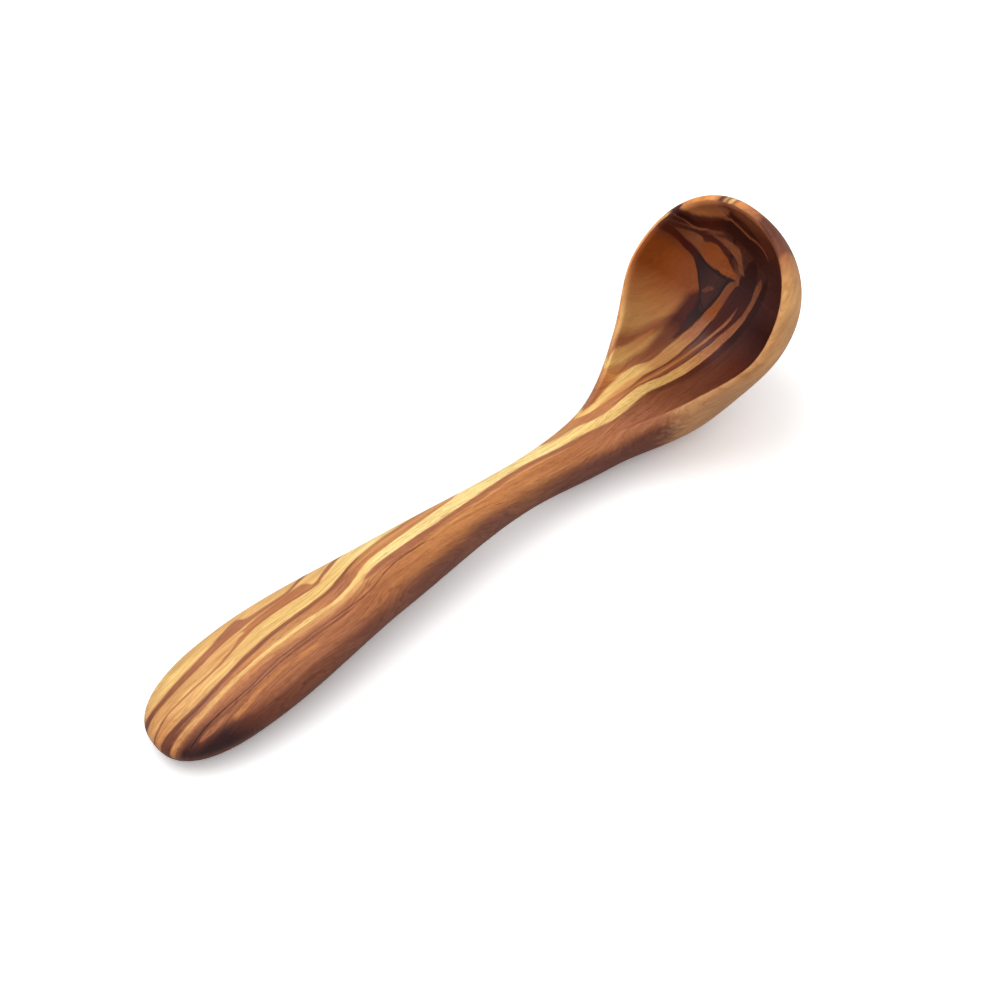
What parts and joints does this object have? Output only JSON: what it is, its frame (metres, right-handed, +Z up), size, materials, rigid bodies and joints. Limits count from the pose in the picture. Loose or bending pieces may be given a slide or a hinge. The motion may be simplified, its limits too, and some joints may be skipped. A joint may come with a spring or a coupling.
{
  "type": "wooden ladle",
  "caption": "Small ladle carved in one piece from figured wood: round cup-shaped bowl swept up from a slender neck, and a handle that swells to a rounded end.",
  "frame": {"origin": "on the table, under the middle of the ladle's box, as it lies on the heel of its bowl and on the end of its handle", "axes": "+X from the handle's end to the bowl's tip, +Y to the left of it, +Z up out of the bowl's hollow"},
  "size_m": [0.1802, 0.0448, 0.0565],
  "materials": {
    "olive_wood": "smooth sanded olive wood with a thin coat of oil: tan and yellow bands between dark brown lines, satin"
  },
  "bodies": {
    "root": {"ladle": "olive_wood"}
  },
  "joints": []
}
